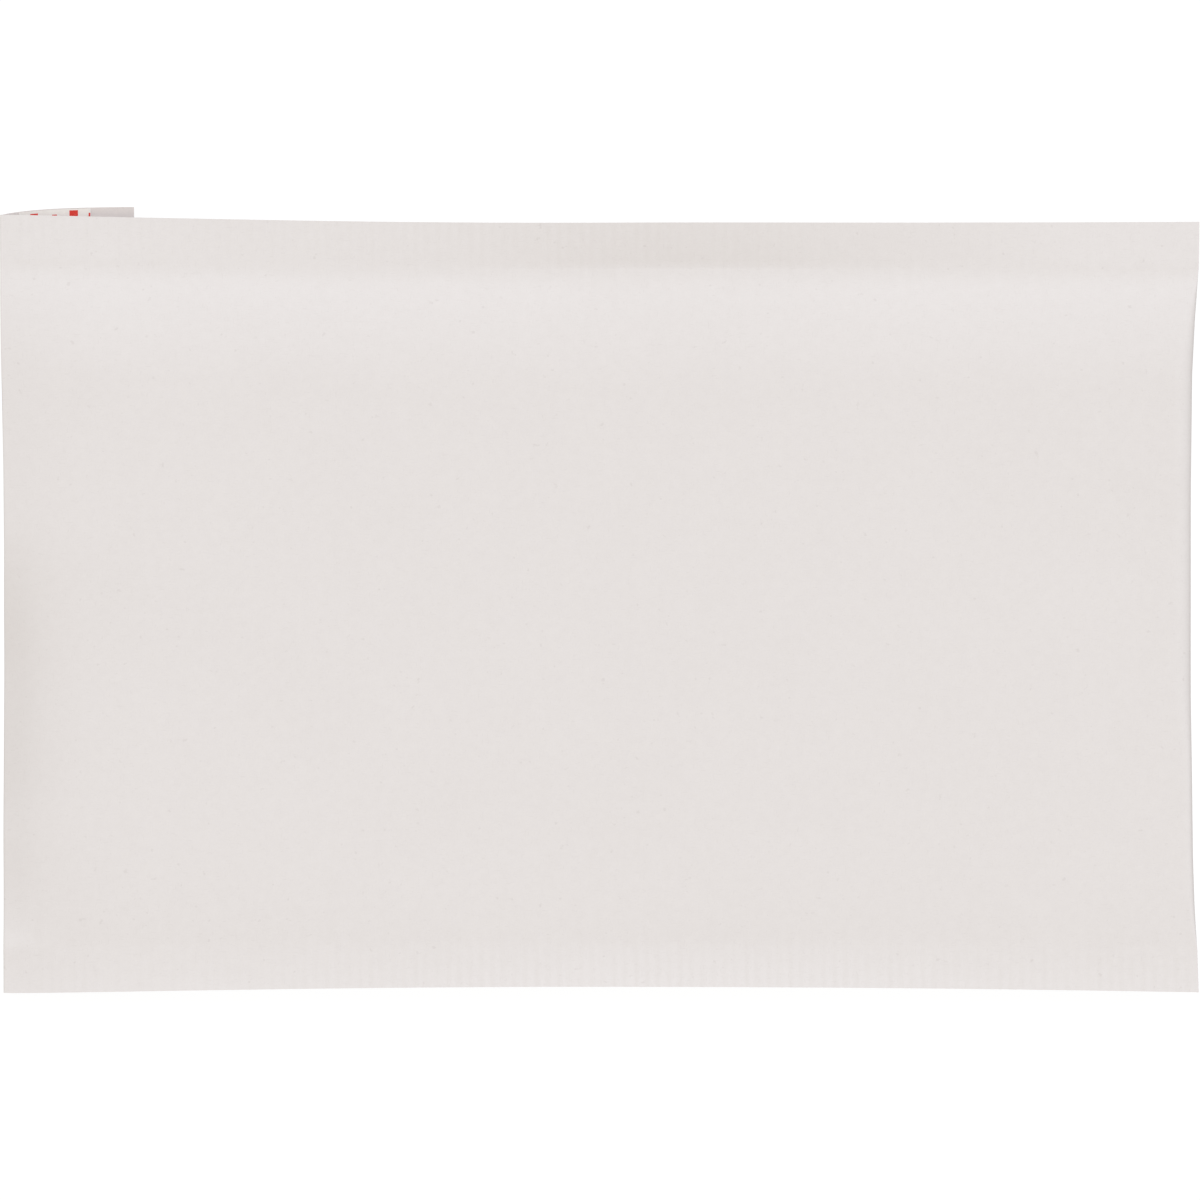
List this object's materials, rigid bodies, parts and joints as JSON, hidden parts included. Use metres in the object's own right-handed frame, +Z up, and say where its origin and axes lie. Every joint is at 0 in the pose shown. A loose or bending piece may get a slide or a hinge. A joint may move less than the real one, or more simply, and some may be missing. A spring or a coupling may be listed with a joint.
{
  "type": "padded envelope",
  "caption": "Flat white padded mailer, empty and unused, lying on its back: folded paper wrapper, crimped side seams, bubble lining, and a flap tucked under with its release liner on.",
  "frame": {"origin": "centre of the bounding box's base, on the surface that the mailer lies on", "axes": "+X along the mailer from the folded mouth to the closed end, +Y across it to the seam where the flap's corner shows, +Z up out of the front panel"},
  "size_m": [0.4064, 0.2664, 0.012],
  "materials": {
    "paper": "matt white uncoated paper with a faint warm tone and fine fibres",
    "bubble_film": "clear polyethylene bubble film",
    "adhesive": "pale hot melt adhesive",
    "liner_paper": null
  },
  "bodies": {
    "root": {"paper_wrapper": "paper", "bubble_lining": "bubble_film", "adhesive_strip": "adhesive", "release_liner": "liner_paper"}
  },
  "joints": []
}
